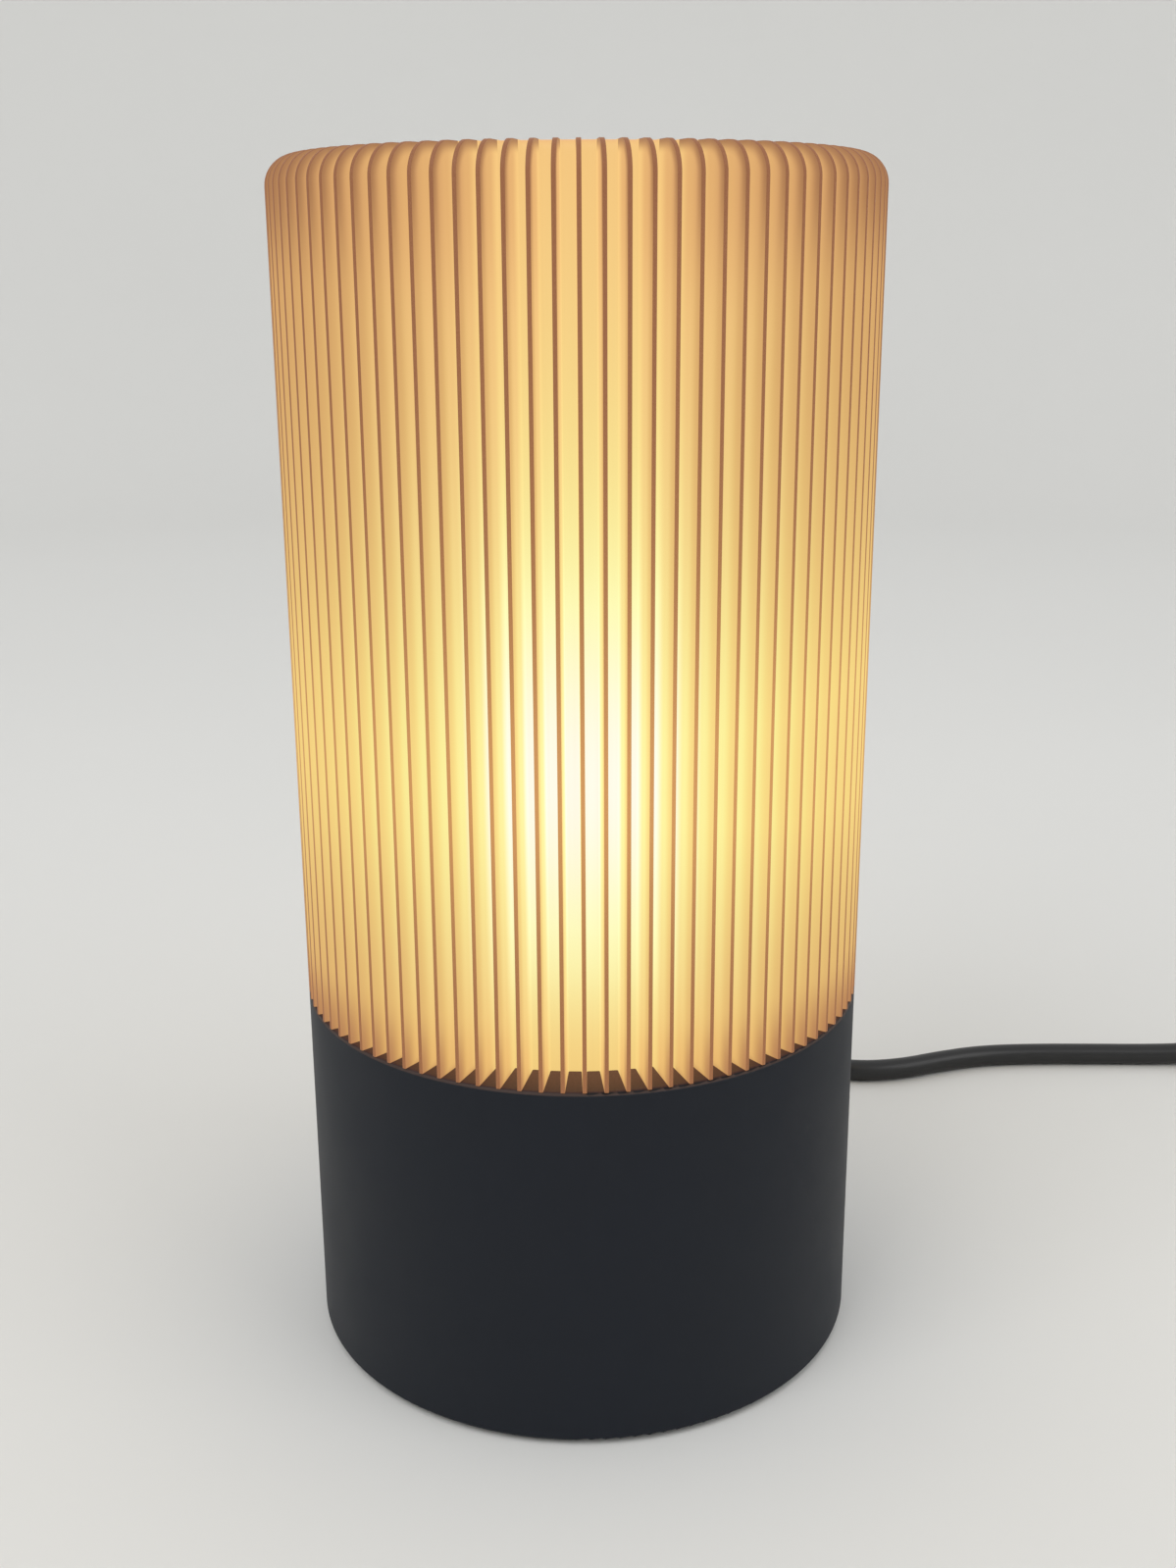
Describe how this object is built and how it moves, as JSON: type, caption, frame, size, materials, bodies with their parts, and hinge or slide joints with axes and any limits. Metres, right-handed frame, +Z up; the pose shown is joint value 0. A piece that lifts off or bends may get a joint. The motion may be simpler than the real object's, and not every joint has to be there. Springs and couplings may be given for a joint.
{
  "type": "table lamp",
  "caption": "Upright cylindrical table lamp: a plain dark base under a translucent shade with deep vertical fins, with screw-in bulb, lampholder, mains cord, switch and plug.",
  "frame": {"origin": "on the table under the lamp's axis, at the underside of the foot pads", "axes": "+Z up along the lamp's axis, -Y towards the viewer, +Y towards the cord's exit"},
  "size_m": [0.376, 0.1966, 0.2495],
  "materials": {
    "base_plastic": "fine matt, moulded",
    "shade_plastic": "translucent, satin",
    "rubber": "matt",
    "steel": "zinc plated",
    "ballast_steel": "blackened",
    "holder_plastic": "gloss, moulded",
    "ceramic": "unglazed",
    "brass": "plain",
    "opal": "opal, satin",
    "bulb_plastic": "satin white",
    "cap_aluminium": "plain",
    "insulator_glass": "gloss black",
    "board": "white solder mask",
    "cord_pvc": "gloss black sheath",
    "wire_brown": "wire insulation",
    "wire_blue": "wire insulation"
  },
  "bodies": {
    "root": {"base_shell": "base_plastic", "bottom_cover": "base_plastic", "foot_pads": "rubber", "cover_screws": "steel", "ballast_plate": "ballast_steel", "ballast_screws": "steel", "holder_strap": "steel", "strap_screws": "steel", "holder_nipple": "steel", "nipple_nut": "steel", "holder_cap": "holder_plastic", "holder_sleeve": "holder_plastic", "holder_core": "ceramic", "holder_screw_shell": "brass", "holder_contact_leaf": "brass", "holder_terminals": "steel", "strain_relief": "cord_pvc", "lead_jacket": "cord_pvc", "lead_live": "wire_brown", "lead_neutral": "wire_blue", "cord_clamp": "holder_plastic", "clamp_screws": "steel", "cord_lead": "cord_pvc", "switch_lower_shell": "holder_plastic", "switch_upper_shell": "holder_plastic", "switch_contacts": "brass", "switch_screws": "steel", "cord_tail": "cord_pvc", "cord_coil": "cord_pvc", "cord_plug_end": "cord_pvc", "plug_body": "cord_pvc", "plug_pins": "steel"},
    "shade": {"shade": "shade_plastic"},
    "bulb": {"bulb_globe": "opal", "bulb_collar": "bulb_plastic", "bulb_cap": "cap_aluminium", "bulb_insulator": "insulator_glass", "bulb_contact": "brass", "emitter_board": "board", "driver_board": "board"},
    "rocker": {"switch_rocker": "holder_plastic"}
  },
  "joints": [
    {"name": "shade_lift", "type": "slide", "parent": "root", "child": "shade", "axis": [0, 0, 1], "range_m": [0, 0.08]},
    {"name": "bulb_lift", "type": "slide", "parent": "root", "child": "bulb", "axis": [0, 0, 1], "range_m": [0, 0.03]},
    {"name": "rocker_tilt", "type": "hinge", "parent": "root", "child": "rocker", "pos_m": [0.241, 0.11, 0.0127], "axis": [0, -1, 0], "range_deg": [0, 16]}
  ]
}
